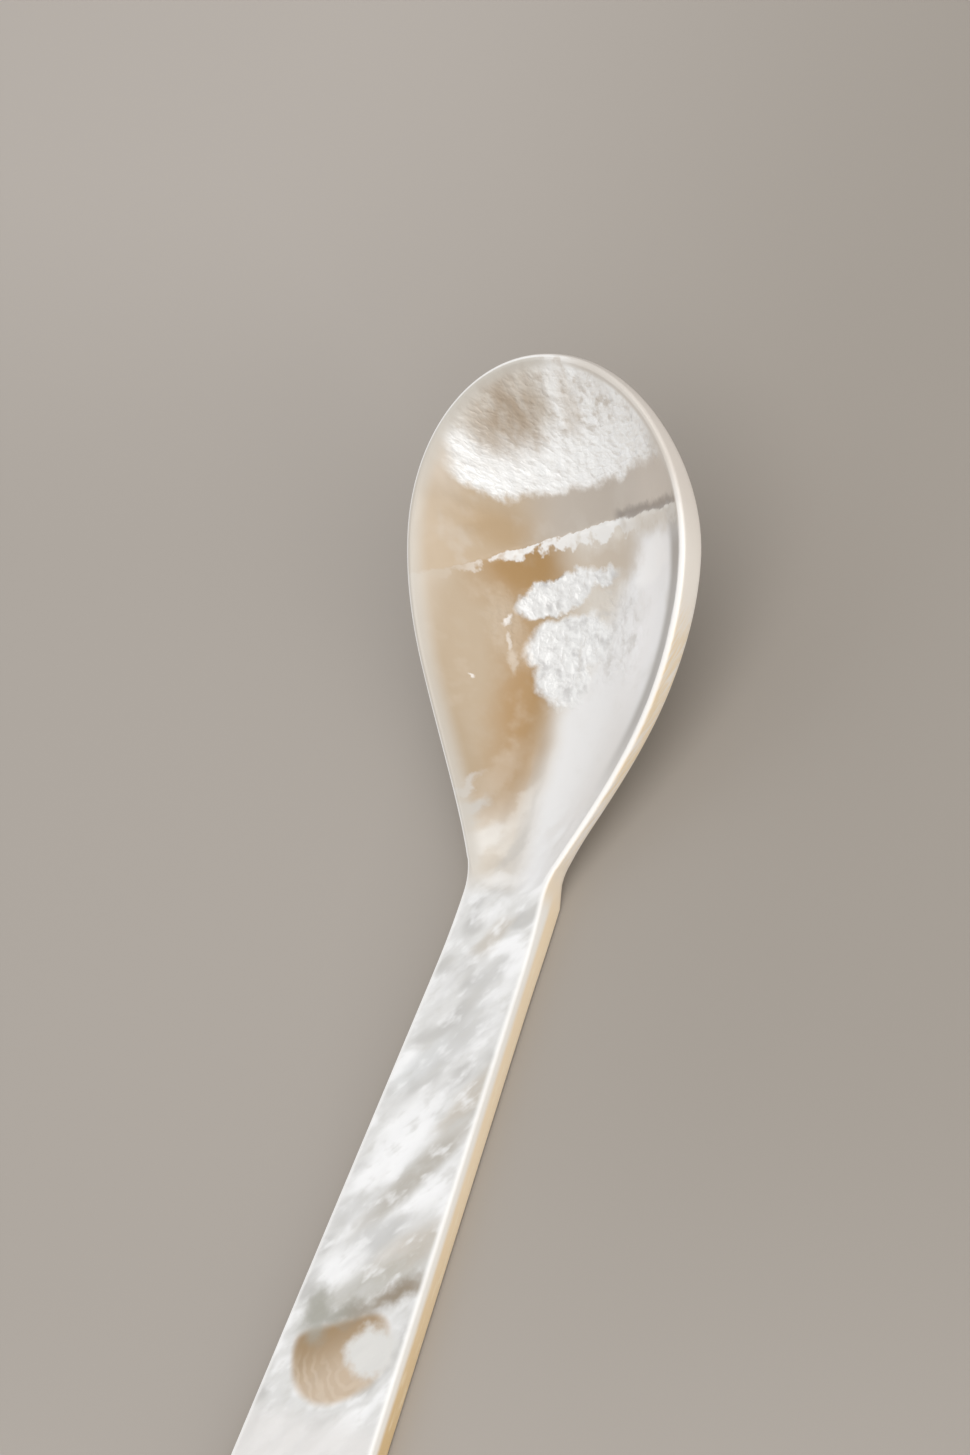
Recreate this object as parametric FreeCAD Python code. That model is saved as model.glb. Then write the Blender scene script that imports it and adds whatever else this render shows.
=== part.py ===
import FreeCAD, Part
import math
import os

# Caviar spoon carved in one piece from mother-of-pearl
# A thin bar of shell widens into an egg-shaped bowl. The bar is bent up just behind the bowl,
# so with the handle lying flat the bowl looks up at a slant and its tip stands clear of the table.
# All sizes are millimetres. The spoon lies along Y with the tip of the bowl at +Y and +Z up.
# The origin is on the flat underside of the handle, on the centre line, below the neck.

# Outline of the bowl, seen square to its rim
bowl_length = 37.0
bowl_width = 24.1
widest_to_tip = 13.5
tip_fullness = 0.556
shoulder_reach = 9.7
flank_reach = 5.7
flank_angle = 23.5

# Handle and neck
neck_width = 6.8
neck_corner_radius = 4.9
handle_length = 68.0
handle_end_width = 13.9
handle_end_bulge = 1.6
handle_end_corner_radius = 2.5
shell_thickness = 2.1

# Bend between the handle and the bowl
bend_angle = 29.8
bend_radius = 41.3
bend_behind_neck = 6.85

# Back of the bowl
back_starts_behind_neck = 4.2
back_lifts_past_neck = 5.7
keel_sink_at_start = 1.3
wall_sink_at_start = 0.6

# Side wall of the bowl: ground low beside the neck, tall at the widest place, low again at the tip
low_wall_past_neck = 4.0
low_wall_height = 1.2
tall_wall_height = 2.2
tip_wall_height = 0.95

# Hollow of the bowl
rim_width = 0.4
hollow_depth = 5.3
deepest_past_neck = 20.0
lip_behind_neck = 1.2

# Polished edges
top_edge_radius = 0.25
underside_edge_radius = 0.4

# Shares of a rounded form's length at which it is given a round cross-section
section_places = [0.03, 0.11, 0.22, 0.36, 0.5, 0.64, 0.77, 0.88, 0.95]

# Trimming solids stand clear of the spoon by the spare, and run past its ends by the overrun
spare = 6.0
overrun = 1.0

# Two places closer than this count as one
near = 0.001


def vec(x, y, z):
    return FreeCAD.Vector(x, y, z)


# The spoon is shaped in the frame of its rim, with Z square to the rim, and laid down at the end
bend = math.radians(bend_angle)
bend_past_neck = bend_radius * bend - bend_behind_neck
bend_start_y = bend_radius * math.sin(bend_past_neck / bend_radius)
bend_end_y = bend_start_y - bend_radius * math.sin(bend)
bend_end_z = bend_radius * (1 - math.cos(bend))


def beside_handle(past_neck, below):
    """Point of the side view, measured along the handle past the neck and down from its upper face."""
    distance = past_neck + bend_behind_neck
    y = bend_end_y + distance * math.cos(bend) - below * math.sin(bend)
    z = bend_end_z - distance * math.sin(bend) - below * math.cos(bend)
    return vec(0, y, z)


def top_height(y):
    """Height of the upper face at a place along the spoon: flat, then bent up, then the handle."""
    if y >= bend_start_y:
        return 0.0
    if y >= bend_end_y:
        return bend_radius - math.sqrt(bend_radius ** 2 - (bend_start_y - y) ** 2)
    return bend_end_z + (bend_end_y - y) * math.tan(bend)


def under_height(y):
    """Height of the plane that holds the flat underside of the handle."""
    return bend_end_z + (bend_end_y - y) * math.tan(bend) - shell_thickness / math.cos(bend)


def laid_down(shape):
    """Turn a shape from the frame of the rim to the spoon's own frame, with the handle lying flat."""
    shape = shape.translated(beside_handle(0, shell_thickness).negative())
    return shape.rotated(vec(0, 0, 0), vec(1, 0, 0), bend_angle)


def stood_up(shape):
    """The reverse of laid_down."""
    shape = shape.rotated(vec(0, 0, 0), vec(1, 0, 0), -bend_angle)
    return shape.translated(beside_handle(0, shell_thickness))


# Outline of the bowl: a rounded tip, then a full shoulder that runs into a straighter flank
# The same two curves, set in from the edge, give the border of the hollow
def bowl_curves(side, inset):
    slope = math.radians(flank_angle)
    widest = bowl_length - widest_to_tip
    half = side * (bowl_width / 2 - inset)
    neck = side * (neck_width / 2 - inset / math.cos(slope))
    tip = Part.BezierCurve()
    tip.setPoles([
        vec(0, bowl_length - inset, 0),
        vec(half * tip_fullness, bowl_length - inset, 0),
        vec(half, widest + (widest_to_tip - inset) * tip_fullness, 0),
        vec(half, widest, 0),
    ])
    flank = Part.BezierCurve()
    flank.setPoles([
        vec(half, widest, 0),
        vec(half, widest - shoulder_reach, 0),
        vec(neck + side * flank_reach * math.sin(slope), flank_reach * math.cos(slope), 0),
        vec(neck, 0, 0),
    ])
    return [tip.toShape(), flank.toShape()]


def half_width(y, inset):
    """Half the width between the two outline curves at a place along the bowl."""
    across = Part.makeLine(vec(0, y, 0), vec(bowl_width, y, 0))
    for curve in bowl_curves(1, inset):
        gap, pairs, info = curve.distToShape(across)
        if gap < near:
            return pairs[0][0].x
    return 0.0


def handle_half_width(behind_neck):
    growth = (handle_end_width - neck_width) / 2 / handle_length
    return neck_width / 2 + growth * behind_neck


# The outline is sawn square to the rim, through the whole height of the bent blank
def outline_prism():
    back = beside_handle(-handle_length - spare, 0)
    half_back = handle_half_width(handle_length + spare)
    right_neck = vec(neck_width / 2, 0, 0)
    left_neck = vec(-neck_width / 2, 0, 0)
    right_back = vec(half_back, back.y, 0)
    left_back = vec(-half_back, back.y, 0)
    edges = bowl_curves(1, 0) + bowl_curves(-1, 0)
    edges.append(Part.makeLine(right_neck, right_back))
    edges.append(Part.makeLine(right_back, left_back))
    edges.append(Part.makeLine(left_back, left_neck))
    wire = Part.Wire(Part.__sortEdges__(edges))
    low = under_height(bowl_length) - spare
    prism = Part.Face(wire).extrude(vec(0, 0, back.z + spare - low))
    prism.translate(vec(0, 0, low))
    corners = []
    for edge in prism.Edges:
        middle = edge.CenterOfMass
        if abs(middle.y) < near and abs(abs(middle.x) - neck_width / 2) < near:
            corners.append(edge)
    return prism.makeFillet(neck_corner_radius, corners)


# The bent blank, seen from the side: flat over the bowl, an arc at the neck, a straight handle
# Below it everything down to the plane of the handle's underside is still there
def bent_slab():
    front = bowl_length + spare
    middle_y = bend_start_y - bend_radius * math.sin(bend / 2)
    middle_z = bend_radius * (1 - math.cos(bend / 2))
    bend_start = vec(0, bend_start_y, 0)
    bend_end = vec(0, bend_end_y, bend_end_z)
    back_top = beside_handle(-handle_length - spare, 0)
    back_under = beside_handle(-handle_length - spare, shell_thickness)
    front_under = vec(0, front, under_height(front))
    front_top = vec(0, front, 0)
    wire = Part.Wire([
        Part.makeLine(front_top, bend_start),
        Part.Arc(bend_start, vec(0, middle_y, middle_z), bend_end).toShape(),
        Part.makeLine(bend_end, back_top),
        Part.makeLine(back_top, back_under),
        Part.makeLine(back_under, front_under),
        Part.makeLine(front_under, front_top),
    ])
    slab = Part.Face(wire).extrude(vec(2 * bowl_width, 0, 0))
    return slab.translated(vec(-bowl_width, 0, 0))


# The handle ends in a shallow arc, cut square to its faces
def handle_end_trim():
    half = handle_end_width / 2
    wide = half + spare
    corner_y = handle_end_bulge - handle_length
    back = -handle_length - 2 * spare
    arc = Part.Arc(vec(-half, corner_y, 0), vec(0, -handle_length, 0), vec(half, corner_y, 0))
    around = Part.makePolygon([
        vec(half, corner_y, 0),
        vec(wide, corner_y, 0),
        vec(wide, back, 0),
        vec(-wide, back, 0),
        vec(-wide, corner_y, 0),
        vec(-half, corner_y, 0),
    ])
    trim = Part.Face(Part.Wire([arc.toShape(), around])).extrude(vec(0, 0, 2 * spare))
    return stood_up(trim.translated(vec(0, 0, shell_thickness / 2 - spare)))


def round_handle_corners(shape):
    shape = laid_down(shape)
    corner_y = handle_end_bulge - handle_length
    corners = []
    for edge in shape.Edges:
        box = edge.BoundBox
        upright = box.ZLength > shell_thickness / 2
        if upright and abs(edge.CenterOfMass.y - corner_y) < overrun:
            corners.append(edge)
    return stood_up(shape.makeFillet(handle_end_corner_radius, corners))


def round_body(places, bottoms, radii):
    """Solid through upright circles, each given by its place, its lowest height and its radius."""
    rings = []
    for y, bottom, radius in zip(places, bottoms, radii):
        circle = Part.makeCircle(radius, vec(0, y, bottom + radius), vec(0, 1, 0))
        rings.append(Part.Wire(circle))
    return Part.makeLoft(rings, True, False)


def arc_height(centre, radius, y):
    """Height of the lower half of an upright circle in the side view."""
    return centre.z - math.sqrt(radius ** 2 - (y - centre.y) ** 2)


def chord_radius(half, drop):
    """Radius of the circle through both ends of a chord and a point the drop below its middle."""
    return (half ** 2 + drop ** 2) / (2 * drop)


def carried_on(places, radii, y):
    """Radius at a place past the last section, following the change over the last two."""
    growth = (radii[-1] - radii[-2]) / (places[-1] - places[-2])
    return radii[-1] + growth * (y - places[-1])


# Back of the bowl: its keel is one arc that leaves the handle's underside without a step
# and ends at the lower edge of the tip. Behind that start the form sinks below the underside,
# so that it takes nothing off the bar of the handle.
def keel_heights(places):
    start = beside_handle(back_lifts_past_neck, shell_thickness)
    across = vec(0, bowl_length, -tip_wall_height) - start
    lift = across.y * math.sin(bend) + across.z * math.cos(bend)
    radius = across.Length ** 2 / (2 * lift)
    centre = beside_handle(back_lifts_past_neck, shell_thickness - radius)
    heights = []
    for y in places:
        if y >= start.y:
            heights.append(arc_height(centre, radius, y))
        else:
            share = (start.y - y) / (start.y + back_starts_behind_neck)
            heights.append(under_height(y) - keel_sink_at_start * share ** 2)
    return heights


def wall_height(y):
    """Height of the side wall: it starts lower than the whole bar and is eased from place to place."""
    first = -back_starts_behind_neck
    whole_bar = top_height(first) - under_height(first)
    widest = bowl_length - widest_to_tip
    places = [first, low_wall_past_neck, widest, bowl_length]
    heights = [whole_bar + wall_sink_at_start, low_wall_height, tall_wall_height, tip_wall_height]
    height = heights[0]
    for i in range(3):
        share = min(max((y - places[i]) / (places[i + 1] - places[i]), 0), 1)
        height += (heights[i + 1] - heights[i]) * share ** 2 * (3 - 2 * share)
    return height


def back_form():
    first = -back_starts_behind_neck
    past_tip = bowl_length + overrun
    places = []
    for share in [0.0] + section_places[1:]:
        places.append(first + share * (bowl_length - first))
    keel = keel_heights(places + [past_tip])
    radii = []
    for y, bottom in zip(places, keel):
        half = half_width(y, 0) if y > 0 else handle_half_width(-y)
        radii.append(chord_radius(half, top_height(y) - wall_height(y) - bottom))
    radii.append(carried_on(places, radii, past_tip))
    return round_body(places + [past_tip], keel, radii)


def back_trim():
    start = overrun / 2 - back_starts_behind_neck
    low = under_height(bowl_length) - spare
    high = top_height(start) + spare
    block = Part.makeBox(2 * bowl_width, bowl_length + spare, high - low, vec(-bowl_width, start, low))
    return block.cut(back_form())


# Hollow: its floor is one arc from the lip at the neck, through the deepest place, to the tip
def hollow_tool():
    lip = -lip_behind_neck
    tip = bowl_length - rim_width
    lip_point = vec(0, lip, top_height(lip))
    deepest = vec(0, deepest_past_neck, -hollow_depth)
    floor = Part.Arc(lip_point, deepest, vec(0, tip, 0)).toShape().Curve
    places = []
    bottoms = []
    radii = []
    for share in section_places:
        y = lip + share * (tip - lip)
        half = half_width(max(y, 0), rim_width) * math.sqrt(1 - (min(y, 0) / lip) ** 2)
        bottom = arc_height(floor.Center, floor.Radius, y)
        places.append(y)
        bottoms.append(bottom)
        radii.append(chord_radius(half, top_height(y) - bottom))
    before = lip - overrun
    after = tip + overrun
    radii.insert(0, carried_on(places[1::-1], radii[1::-1], before))
    radii.append(carried_on(places, radii[1:], after))
    bottoms.insert(0, arc_height(floor.Center, floor.Radius, before))
    bottoms.append(arc_height(floor.Center, floor.Radius, after))
    return round_body([before] + places + [after], bottoms, radii)


def on_top_border(edge):
    """True for an edge on the border of the upper face, and false for the seams within it."""
    for share in (0.2, 0.5, 0.8):
        at = edge.FirstParameter + share * (edge.LastParameter - edge.FirstParameter)
        point = edge.valueAt(at)
        if abs(point.z - top_height(point.y)) > near:
            return False
    straight_across = edge.BoundBox.YLength < near
    return not straight_across


def on_underside_border(edge):
    for share in (0.2, 0.5, 0.8):
        at = edge.FirstParameter + share * (edge.LastParameter - edge.FirstParameter)
        point = edge.valueAt(at)
        if abs(point.z - under_height(point.y)) > near:
            return False
    return True


# The spoon: saw the outline, bend and trim the bar, ease its edges, round the back, grind the hollow
def spoon():
    shape = outline_prism().common(bent_slab()).cut(handle_end_trim())
    shape = round_handle_corners(shape)
    shape = shape.makeFillet(top_edge_radius, [e for e in shape.Edges if on_top_border(e)])
    under = [e for e in shape.Edges if on_underside_border(e)]
    shape = shape.makeFillet(underside_edge_radius, under)
    return laid_down(shape.cut(back_trim()).cut(hollow_tool()))


os.makedirs("parts", exist_ok=True)
spoon().exportStep("parts/spoon.step")
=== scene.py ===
# %% [markdown]
# # A caviar spoon carved from mother-of-pearl
# The spoon is one flat piece of shell. An egg-shaped bowl is ground into its wide end, and the bar
# behind it is bent a little, so the bowl looks up at a slant. Steel would spoil the taste of
# caviar, and polished shell does not, which is why such spoons are carved from it.
# The plan: load the solid, carve a finer spoon over it along the same curves, raise the
# growth ridge and the ripples of the shell on it, and finish it with one layered pearl material.

# %% Load the solid
import math

import bmesh
import bpy
import numpy
from mathutils import Matrix, Vector, noise


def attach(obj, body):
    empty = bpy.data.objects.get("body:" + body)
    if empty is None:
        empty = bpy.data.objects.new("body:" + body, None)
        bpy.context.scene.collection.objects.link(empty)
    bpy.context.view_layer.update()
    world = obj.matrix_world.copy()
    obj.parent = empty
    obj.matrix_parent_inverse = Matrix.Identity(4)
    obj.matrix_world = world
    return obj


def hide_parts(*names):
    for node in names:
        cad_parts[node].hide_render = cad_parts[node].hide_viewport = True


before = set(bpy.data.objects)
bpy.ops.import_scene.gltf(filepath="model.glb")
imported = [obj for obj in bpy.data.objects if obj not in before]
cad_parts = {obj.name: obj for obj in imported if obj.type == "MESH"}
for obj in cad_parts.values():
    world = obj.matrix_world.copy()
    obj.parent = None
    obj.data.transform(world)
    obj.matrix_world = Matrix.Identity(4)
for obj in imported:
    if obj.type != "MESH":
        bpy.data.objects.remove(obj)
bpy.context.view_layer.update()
MM = 0.001


# %% [markdown]
# ## The camera
# The spoon is seen from above and from its right, a little from the handle's side, through a long
# lens. A turned camera is easiest to set from its own three directions, right, up and back, because
# they are the columns of its rotation. They were found by laying the solid's outline over the
# photograph.

# %% Camera
camera_spot = Vector((222.38, -113.91, 294.25)) * MM
to_right = Vector((0.8060, 0.3313, -0.4905))
to_top = Vector((-0.0898, 0.8876, 0.4519))
towards_camera = to_right.cross(to_top)


def add_object(name, data):
    """A new object in the scene that shows a mesh, a light or a camera."""
    added = bpy.data.objects.new(name, data)
    bpy.context.scene.collection.objects.link(added)
    return added


camera = add_object("camera", bpy.data.cameras.new("camera"))
camera.data.lens = 134.85
camera.data.sensor_width = 36
camera.data.clip_start = 0.01
camera.data.clip_end = 20
turn = Matrix((to_right, to_top, towards_camera)).transposed().to_4x4()
camera.matrix_world = Matrix.Translation(camera_spot) @ turn
bpy.context.scene.camera = camera
print("camera height above the floor, in mm:", round(camera_spot.z / MM))

# %% [markdown]
# ## The sizes of the spoon
# A carver works to a template and a few measures: how long and wide the bowl is, how thick the
# slab, how far the handle is bent, how deep the hollow. These are the same named sizes that the
# solid was built from, so the finer spoon lies on the solid wherever the two are compared.

# %% Sizes in millimetres
bowl_length = 37.0
bowl_width = 24.1
widest_to_tip = 13.5
tip_fullness = 0.556
shoulder_reach = 9.7
flank_reach = 5.7
flank_angle = math.radians(23.5)
neck_width = 6.8
neck_corner = 4.9
handle_length = 68.0
end_width = 13.9
end_bulge = 1.6
end_corner = 2.5
thickness = 2.1
bend = math.radians(29.8)
bend_radius = 41.3
bend_behind_neck = 6.85
back_start = 4.2
keel_lift = 5.7
keel_sink = 1.3
wall_sink = 0.6
low_wall_place = 4.0
low_wall = 1.2
tall_wall = 2.2
tip_wall = 0.95
rim_width = 0.4
hollow_depth = 5.3
deepest = 20.0
lip = 1.2
top_round = 0.25
under_round = 0.4
print("spoon along its upper face, in mm:", bowl_length + handle_length)

# %% [markdown]
# ## The side view
# Seen from the side, the rim is flat over the bowl, then the bar bends down in one arc, and the
# handle behind it is straight. The spoon could be made flat and bent at the end with a modifier,
# but the hollow and the back cross the bend. So a few short functions say where each place of the
# bent face lies: y counts in the plane of the rim, and s counts along the bent face itself.

# %% Side view
bend_past_neck = bend_radius * bend - bend_behind_neck
bend_y = bend_radius * math.sin(bend_past_neck / bend_radius)
bend_end_y = bend_y - bend_radius * math.sin(bend)
bend_end_z = bend_radius * (1 - math.cos(bend))


def along_to_y(s):
    """Place in the rim's plane of a point s past the neck."""
    if s >= bend_past_neck:
        return bend_y + s - bend_past_neck
    if s >= -bend_behind_neck:
        return bend_y - bend_radius * math.sin((bend_past_neck - s) / bend_radius)
    return bend_end_y + (s + bend_behind_neck) * math.cos(bend)


def y_to_along(y):
    """The reverse of along_to_y."""
    if y >= bend_y:
        return y - bend_y + bend_past_neck
    if y >= bend_end_y:
        return bend_past_neck - bend_radius * math.asin((bend_y - y) / bend_radius)
    return (y - bend_end_y) / math.cos(bend) - bend_behind_neck


def top_height(y):
    if y >= bend_y:
        return 0.0
    if y >= bend_end_y:
        return bend_radius - math.sqrt(bend_radius ** 2 - (bend_y - y) ** 2)
    return bend_end_z + (bend_end_y - y) * math.tan(bend)


def under_height(y):
    return bend_end_z + (bend_end_y - y) * math.tan(bend) - thickness / math.cos(bend)


def handle_point(s, below):
    """Side view of the straight handle: a point s past the neck and below the upper face."""
    run = s + bend_behind_neck
    y = bend_end_y + run * math.cos(bend) - below * math.sin(bend)
    return y, bend_end_z - run * math.sin(bend) - below * math.cos(bend)


print("the bend begins", round(bend_past_neck, 2), "mm past the neck")

# %% [markdown]
# ## The outline of the bowl
# The bowl's outline is two Bezier curves: a round tip, and a flank that runs into the neck. A curve
# object could draw it. Worked out as points, it can also be set in from the edge, and the line that
# is set in by the rim's width is where the hollow begins. Only the right half is worked out.

# %% Outline of the bowl
tip_y = bowl_length


def bezier(p, t):
    """Point of a cubic Bezier curve with the four poles p."""
    u = 1 - t
    return p[0] * u ** 3 + p[1] * (3 * u * u * t) + p[2] * (3 * u * t * t) + p[3] * t ** 3


def bowl_line(inset, steps=500):
    """The right half of the bowl's outline, set in from the edge, from the tip to the neck."""
    half = bowl_width / 2 - inset
    neck = neck_width / 2 - inset / math.cos(flank_angle)
    widest = tip_y - widest_to_tip
    full = widest + (widest_to_tip - inset) * tip_fullness
    pull = (neck + flank_reach * math.sin(flank_angle), flank_reach * math.cos(flank_angle))
    tip = [(0, tip_y - inset), (half * tip_fullness, tip_y - inset), (half, full), (half, widest)]
    flank = [(half, widest), (half, widest - shoulder_reach), pull, (neck, 0)]
    line = []
    for poles in (tip, flank):
        poles = [Vector(p) for p in poles]
        line += [bezier(poles, i / steps) for i in range(steps + 1)]
    return line


def width_reader(inset):
    """A function that reads the bowl's half width at a place y."""
    points = bowl_line(inset)[::-1]
    ys = [p.y for p in points]
    xs = [p.x for p in points]
    return lambda y: float(numpy.interp(y, ys, xs))


outer_width = width_reader(0)
hollow_width = width_reader(rim_width)
print("half widths at the middle:", round(outer_width(20), 2), "and", round(hollow_width(20), 2))

# %% [markdown]
# ## The neck
# Shell cracks from a sharp inner corner, so the carver leaves it round where the bowl meets the
# handle. A bevel could round it on the finished mesh, but the ribs of the mesh start from this
# line, so the arc is put into the line itself. It touches both the flank and the handle's side.

# %% Outline from the tip to the neck
growth = (end_width - neck_width) / 2 / handle_length
past_end = handle_length + 6


def around(centre, radius, start, stop, steps=40):
    """Points of an arc from one angle to another."""
    angles = numpy.linspace(start, stop, steps)
    xs = [centre.x + radius * math.cos(a) for a in angles]
    ys = [centre.y + radius * math.sin(a) for a in angles]
    return [Vector(place) for place in zip(xs, ys)]


def angle_of(vector):
    return math.atan2(vector.y, vector.x)


corner = Vector((neck_width / 2, 0))
far_point = Vector((neck_width / 2 + growth * past_end, handle_point(-past_end, 0)[0]))
up_flank = Vector((math.sin(flank_angle), math.cos(flank_angle)))
down_handle = (far_point - corner).normalized()
half_angle = up_flank.angle(down_handle) / 2
to_centre = (up_flank + down_handle).normalized() * neck_corner / math.sin(half_angle)
arc_centre = corner + to_centre
arc_reach = neck_corner / math.tan(half_angle)
arc_start = angle_of(corner + up_flank * arc_reach - arc_centre) % math.tau
arc_stop = angle_of(corner + down_handle * arc_reach - arc_centre) % math.tau
bowl_side = [p for p in bowl_line(0) if p.y > (up_flank * arc_reach).y]
neck_arc = around(arc_centre, neck_corner, arc_start, arc_stop)
print("the neck's arc reaches", round(arc_reach, 2), "mm up the flank")

# %% [markdown]
# ## The handle and its end
# Behind the neck the bar grows wider and ends in a flat bulge with two rounded corners, so that it
# lies softly in the hand. The corner's circle has to touch the straight side and the bulge at once.
# Instead of a long formula, its centre is moved a few times until both hold.

# %% Outline of the handle and its end
def handle_half(s):
    """Half width of the handle at a place s behind the neck."""
    return corner.x - down_handle.x / down_handle.y * -along_to_y(s)


side_lean = math.atan((handle_half(-60) - handle_half(-50)) / 10)
half_end = end_width / 2
end_radius = (half_end ** 2 + end_bulge ** 2) / (2 * end_bulge)
end_centre = Vector((0, end_radius - handle_length))


def end_corner_centre():
    """Centre of the circle that rounds the corner between the handle's side and its end."""
    centre = Vector((half_end, end_bulge - handle_length))
    for _ in range(20):
        x = handle_half(centre.y) - end_corner / math.cos(side_lean)
        s = end_centre.y - math.sqrt((end_radius - end_corner) ** 2 - x ** 2)
        centre = Vector((x, s))
    return centre


round_centre = end_corner_centre()
end_angle = angle_of(round_centre - end_centre)
side_places = numpy.linspace(y_to_along(neck_arc[-1].y) - 0.3, round_centre.y + 0.2, 200)
handle_side = [Vector((handle_half(s), s)) for s in side_places]
front = [Vector((p.x, y_to_along(p.y))) for p in bowl_side + neck_arc]
end_round = around(round_centre, end_corner, side_lean, end_angle)
end_arc = around(end_centre, end_radius, end_angle, -math.pi / 2)
print("handle's half width near the end:", round(handle_half(-66), 2))

# %% [markdown]
# ## Stations along the edge
# A smooth edge needs points close together where it turns, and long straight sides need few. Each
# stretch of the outline is therefore shared into equal steps of its own length. Every station also
# keeps the direction square to the edge, because the rim has the same width all round.

# %% Share the outline into stations
def stations(points, step):
    """The points of a line at equal steps of about the given length, without the last one."""
    runs = [0.0]
    for a, b in zip(points, points[1:]):
        runs.append(runs[-1] + (b - a).length)
    count = round(runs[-1] / step)
    at = numpy.linspace(0, runs[-1], count + 1)[:-1]
    xs = numpy.interp(at, runs, [p.x for p in points])
    ss = numpy.interp(at, runs, [p.y for p in points])
    return [Vector((x, s)) for x, s in zip(xs, ss)]


stretches = [(front + handle_side[:1], 0.27), (handle_side + end_round[:1], 0.45),
             (end_round + end_arc[:1], 0.25), (end_arc, 0.35)]
edge = [point for points, step in stretches for point in stations(points, step)]
edge.append(Vector((0, -handle_length)))
outward = []
for i in range(len(edge)):
    run = edge[min(i + 1, len(edge) - 1)] - edge[max(i - 1, 0)]
    outward.append(Vector((-run.y, run.x)).normalized())
outward[0] = Vector((0, 1))
outward[-1] = Vector((0, -1))
print("stations along the edge:", len(edge))

# %% [markdown]
# ## Round sections
# A grinding wheel leaves a hollow whose cross sections are arcs of circles, and the back is ground
# round in the same way. So either surface is known from two curves: how high its lowest line lies,
# and how large the circle is at each place. A surface of revolution would be simpler, but the
# spoon's outline asks for another circle at every place.

# %% Circles of the side view and of the cross sections
def arc_radius(half, drop):
    """Radius of the circle through both ends of a chord and a point below its middle."""
    return (half ** 2 + drop ** 2) / (2 * drop)


def circle_through(a, b, c):
    """Centre and radius of the circle through three points of the side view."""
    ab, ac = b - a, c - a
    x = ac.y * ab.length_squared - ab.y * ac.length_squared
    y = ab.x * ac.length_squared - ac.x * ab.length_squared
    centre = a + Vector((x, y)) / (2 * ab.cross(ac))
    return centre, (a - centre).length


def section_table(first, last, low_share, high_share, bottom, radius):
    """A reader of bottom and radius, which goes on in a straight line past the outer sections."""
    ys = [first + share * (last - first) for share in numpy.linspace(low_share, high_share, 60)]
    radii = [radius(y) for y in ys]
    low_slope = (radii[0] - radii[5]) / (ys[0] - ys[5])
    high_slope = (radii[-1] - radii[-6]) / (ys[-1] - ys[-6])

    def read(y):
        r = float(numpy.interp(y, ys, radii))
        return bottom(y), r + low_slope * min(y - ys[0], 0) + high_slope * max(y - ys[-1], 0)
    return read


def section_height(read, x, y):
    """Height of a round section over a place, or nothing outside it."""
    bottom, radius = read(y)
    if abs(x) >= radius:
        return None
    return bottom + radius - math.sqrt(radius ** 2 - x ** 2)


print("a chord of 20 mm, 5 mm deep, has the radius", arc_radius(10, 5))

# %% [markdown]
# ## The hollow
# The floor of the hollow is one long arc from the lip at the neck, through the deepest place, to
# the tip. The sections reach from one crest of the rim to the other. Cut with a boolean, the hollow
# would leave a ragged seam in the mesh; as a height over a place it gives the ribs clean points.

# %% Floor of the hollow
floor_centre, floor_radius = circle_through(
    Vector((-lip, top_height(-lip))), Vector((deepest, -hollow_depth)),
    Vector((tip_y - rim_width, 0)))


def floor_height(y):
    return floor_centre.y - math.sqrt(floor_radius ** 2 - (y - floor_centre.x) ** 2)


def hollow_radius(y):
    half = hollow_width(max(y, 0)) * math.sqrt(1 - (min(y, 0) / lip) ** 2)
    return arc_radius(half, top_height(y) - floor_height(y))


read_hollow = section_table(-lip, tip_y - rim_width, 0.03, 0.95, floor_height, hollow_radius)


def hollow_height(x, y):
    if not -lip < y < tip_y - rim_width:
        return None
    return section_height(read_hollow, x, y)


print("radius of the floor's arc, in mm:", round(floor_radius, 1))

# %% [markdown]
# ## The back
# The back is rounded along a keel that leaves the underside of the handle without a step. It ends
# in an upright side wall, low beside the neck and tallest where the bowl is widest. The keel is
# again one arc, tangent to the handle's underside and through the foot of the wall at the tip.

# %% Keel and side wall
keel_start = Vector(handle_point(keel_lift, thickness))
to_tip = Vector((tip_y, -tip_wall)) - keel_start
keel_radius = to_tip.length_squared / (2 * (to_tip.x * math.sin(bend) + to_tip.y * math.cos(bend)))
keel_centre = Vector(handle_point(keel_lift, thickness - keel_radius))
whole_bar = top_height(-back_start) - under_height(-back_start)
wall_places = [-back_start, low_wall_place, tip_y - widest_to_tip, tip_y]
wall_heights = [whole_bar + wall_sink, low_wall, tall_wall, tip_wall]


def keel_height(y):
    if y >= keel_start.x:
        return keel_centre.y - math.sqrt(keel_radius ** 2 - (y - keel_centre.x) ** 2)
    share = (keel_start.x - y) / (keel_start.x + back_start)
    return under_height(y) - keel_sink * share ** 2


def wall_height(y):
    """Height of the side wall, eased from each place to the next."""
    height = wall_heights[0]
    for i in range(3):
        share = (y - wall_places[i]) / (wall_places[i + 1] - wall_places[i])
        share = min(max(share, 0), 1)
        height += (wall_heights[i + 1] - wall_heights[i]) * share ** 2 * (3 - 2 * share)
    return height


def back_radius(y):
    half = outer_width(y) if y > 0 else neck_width / 2 - growth * y
    return arc_radius(half, top_height(y) - wall_height(y) - keel_height(y))


read_back = section_table(-back_start, tip_y, 0.0, 0.95, keel_height, back_radius)


def lower_height(x, y):
    """Height of the back: the round form in front, the flat underside of the handle behind."""
    height = under_height(y)
    form = section_height(read_back, x, y) if y > -back_start + 0.5 else None
    return height if form is None else max(height, form)


wall_under_floor = floor_height(deepest) - keel_height(deepest)
print("wall under the deepest place, in mm:", round(wall_under_floor, 2))

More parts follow.
